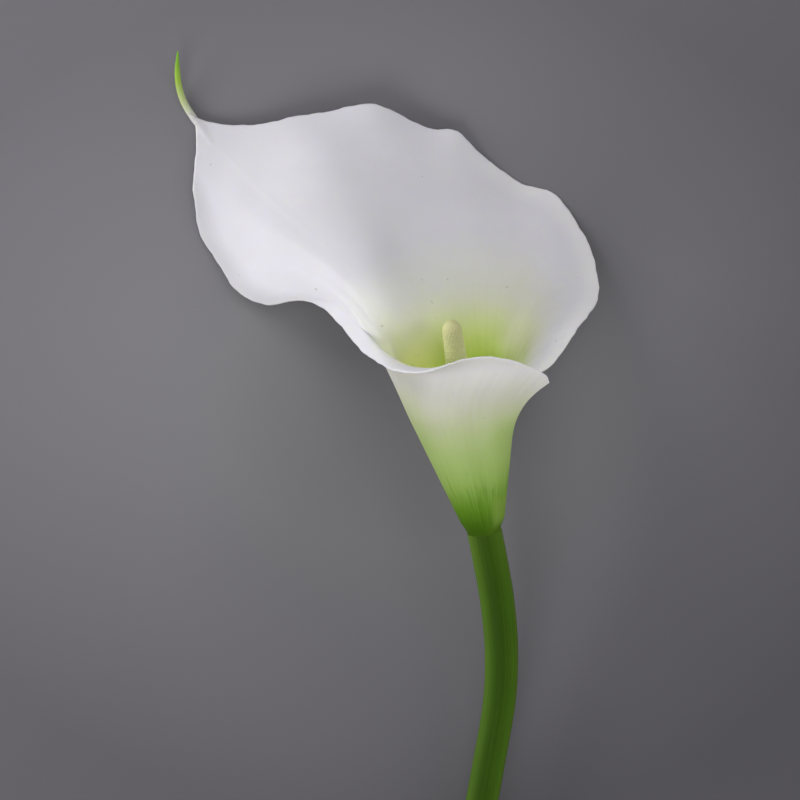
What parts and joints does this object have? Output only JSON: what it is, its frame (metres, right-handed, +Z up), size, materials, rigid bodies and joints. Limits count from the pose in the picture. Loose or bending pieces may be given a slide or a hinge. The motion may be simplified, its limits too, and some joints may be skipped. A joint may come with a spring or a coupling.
{
  "type": "calla lily flower",
  "caption": "Single white calla lily bloom with a rolled funnel spathe, a green curled tail, a spadix and a bent green cut stem, lying on its back.",
  "frame": {"origin": "Bottom centre of the bounding box, on the surface that the flower lies on.", "axes": "+Y runs from the cut end of the stem to the tail of the spathe, +X to the flower's right as its open side is seen from above, +Z up from the surface."},
  "size_m": [0.1294, 0.3448, 0.0596],
  "materials": {
    "spathe": "satin",
    "spadix": "matte",
    "stem": "satin"
  },
  "bodies": {
    "root": {"spathe": "spathe", "spadix": "spadix", "stem": "stem"}
  },
  "joints": []
}
